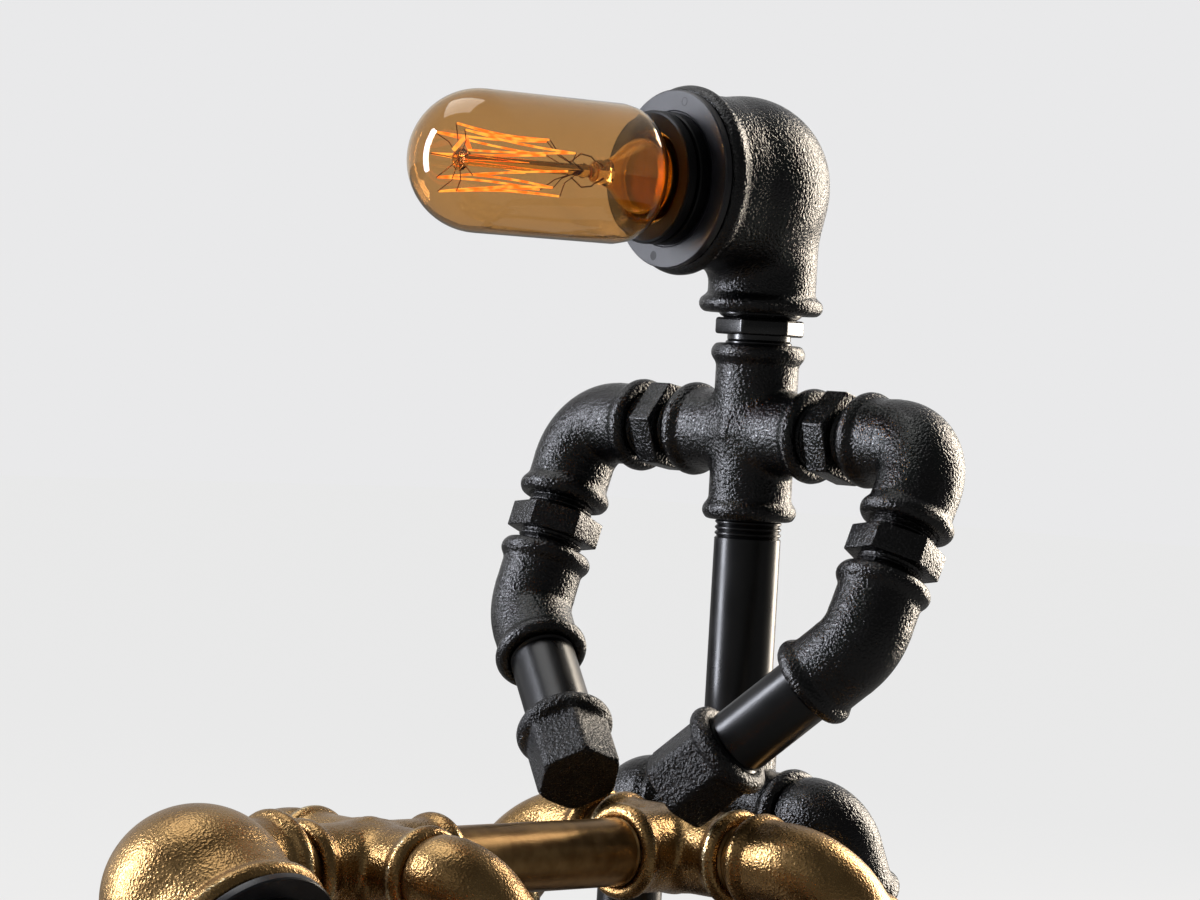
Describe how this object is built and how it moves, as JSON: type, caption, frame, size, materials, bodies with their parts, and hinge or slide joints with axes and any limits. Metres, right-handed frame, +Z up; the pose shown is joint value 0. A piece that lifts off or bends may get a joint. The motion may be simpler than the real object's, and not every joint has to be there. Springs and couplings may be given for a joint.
{
  "type": "robot desk lamp",
  "caption": "Desk lamp built from pipe fittings as a robot with a socketed elbow for a head, standing behind a low steed whose head holds a second lamp, on a dimmer board.",
  "frame": {"origin": "middle of the lamp's bounding box, at the underside of the rubber pads", "axes": "+Z up, the robot and the steed face -Y, the robot's own left hand is on +X"},
  "size_m": [0.226, 0.348, 0.3796],
  "materials": {
    "board": "satin dark stain",
    "pads": "matte",
    "gland": "matte",
    "terminal": "matte",
    "wire": "matte",
    "dimmer": "matte",
    "knob": "satin",
    "black_iron": "satin black over a fine cast grain",
    "black_pipe": "satin",
    "flange_black": "smooth satin",
    "bakelite": "gloss",
    "contact_brass": "bright",
    "steel": "dull",
    "amber_glass": "clear, amber tint",
    "stem_glass": "clear",
    "cap_metal": "satin",
    "filament": "glowing",
    "gold_iron": "gold paint over a fine cast grain",
    "gold_pipe": "satin gold"
  },
  "bodies": {
    "base": {"base_board": "board", "base_pads": "pads", "cable_gland": "gland", "terminal_block": "terminal", "base_wires": "wire", "dimmer_body": "dimmer", "pelvis_tee": "black_iron", "hip_elbows": "black_iron", "leg_pipe_left": "black_pipe", "leg_pipe_right": "black_pipe", "foot_elbow_left": "black_iron", "foot_elbow_right": "black_iron", "toe_plugs": "black_iron", "foot_screws": "steel", "body_pipe": "black_pipe", "chest_cross": "black_iron", "shoulder_nipples": "black_iron", "neck_nipple": "black_iron", "robot_wire": "wire", "steed_rear_tee": "gold_iron", "steed_hind_nipples": "gold_pipe", "steed_hind_elbows": "gold_iron", "steed_spine": "gold_pipe", "steed_front_cross": "gold_iron", "steed_fore_elbows": "gold_iron", "steed_knee_nipples": "gold_pipe", "steed_knee_elbows": "gold_iron", "steed_shins": "gold_pipe", "steed_hooves": "gold_iron", "steed_neck_nipple": "gold_pipe", "steed_wire": "wire"},
    "knob": {"dimmer_knob": "knob"},
    "head": {"head_elbow": "black_iron", "socket_flange": "flange_black", "flange_screws": "steel", "lampholder": "bakelite", "holder_contacts": "contact_brass", "head_wire": "wire"},
    "bulb": {"bulb_glass": "amber_glass", "bulb_cap": "cap_metal", "bulb_stem": "stem_glass", "bulb_filament": "filament"},
    "upper_arm_left": {"shoulder_elbow_left": "black_iron", "arm_nipple_left": "black_iron"},
    "forearm_left": {"forearm_elbow_left": "black_iron", "forearm_pipe_left": "black_pipe", "hand_cap_left": "black_iron"},
    "upper_arm_right": {"shoulder_elbow_right": "black_iron", "arm_nipple_right": "black_iron"},
    "forearm_right": {"forearm_elbow_right": "black_iron", "forearm_pipe_right": "black_pipe", "hand_cap_right": "black_iron"},
    "steed_head": {"steed_head_elbow": "gold_iron", "steed_flange": "flange_black", "steed_lampholder": "bakelite", "steed_contacts": "contact_brass"},
    "steed_bulb": {"steed_bulb_glass": "amber_glass", "steed_bulb_core": "cap_metal"}
  },
  "joints": [
    {"name": "knob_turn", "type": "hinge", "parent": "base", "child": "knob", "pos_m": [0.08, 0.04, 0.026], "axis": [0, 0, 1], "range_deg": [-150, 150]},
    {"name": "head_swivel", "type": "hinge", "parent": "base", "child": "head", "pos_m": [-0.015, 0.09, 0.3497], "axis": [0, 0, 1], "range_deg": [-60, 60]},
    {"name": "bulb_turn", "type": "hinge", "parent": "head", "child": "bulb", "pos_m": [-0.015, 0.09, 0.3497], "axis": [-0.1392, -0.9903, 0], "continuous": true},
    {"name": "left_shoulder", "type": "hinge", "parent": "base", "child": "upper_arm_left", "pos_m": [0.0597, 0.09, 0.2715], "axis": [1, 0, 0], "range_deg": [-60, 0]},
    {"name": "left_forearm", "type": "hinge", "parent": "upper_arm_left", "child": "forearm_left", "pos_m": [0.0597, 0.09, 0.2715], "axis": [0, -0.4258, -0.9048], "range_deg": [-40, 0]},
    {"name": "right_shoulder", "type": "hinge", "parent": "base", "child": "upper_arm_right", "pos_m": [-0.0897, 0.09, 0.2715], "axis": [1, 0, 0], "range_deg": [-60, 0]},
    {"name": "right_forearm", "type": "hinge", "parent": "upper_arm_right", "child": "forearm_right", "pos_m": [-0.0897, 0.09, 0.2715], "axis": [0, -0.3289, -0.9444], "range_deg": [0, 40]},
    {"name": "steed_neck", "type": "hinge", "parent": "base", "child": "steed_head", "pos_m": [-0.01265, -0.07017, 0.1399], "axis": [-0.0227, -0.9997, 0], "range_deg": [-22, 15]},
    {"name": "steed_bulb_turn", "type": "hinge", "parent": "steed_head", "child": "steed_bulb", "pos_m": [-0.01426, -0.14115, 0.1399], "axis": [0.8744, -0.0198, -0.4848], "continuous": true}
  ]
}
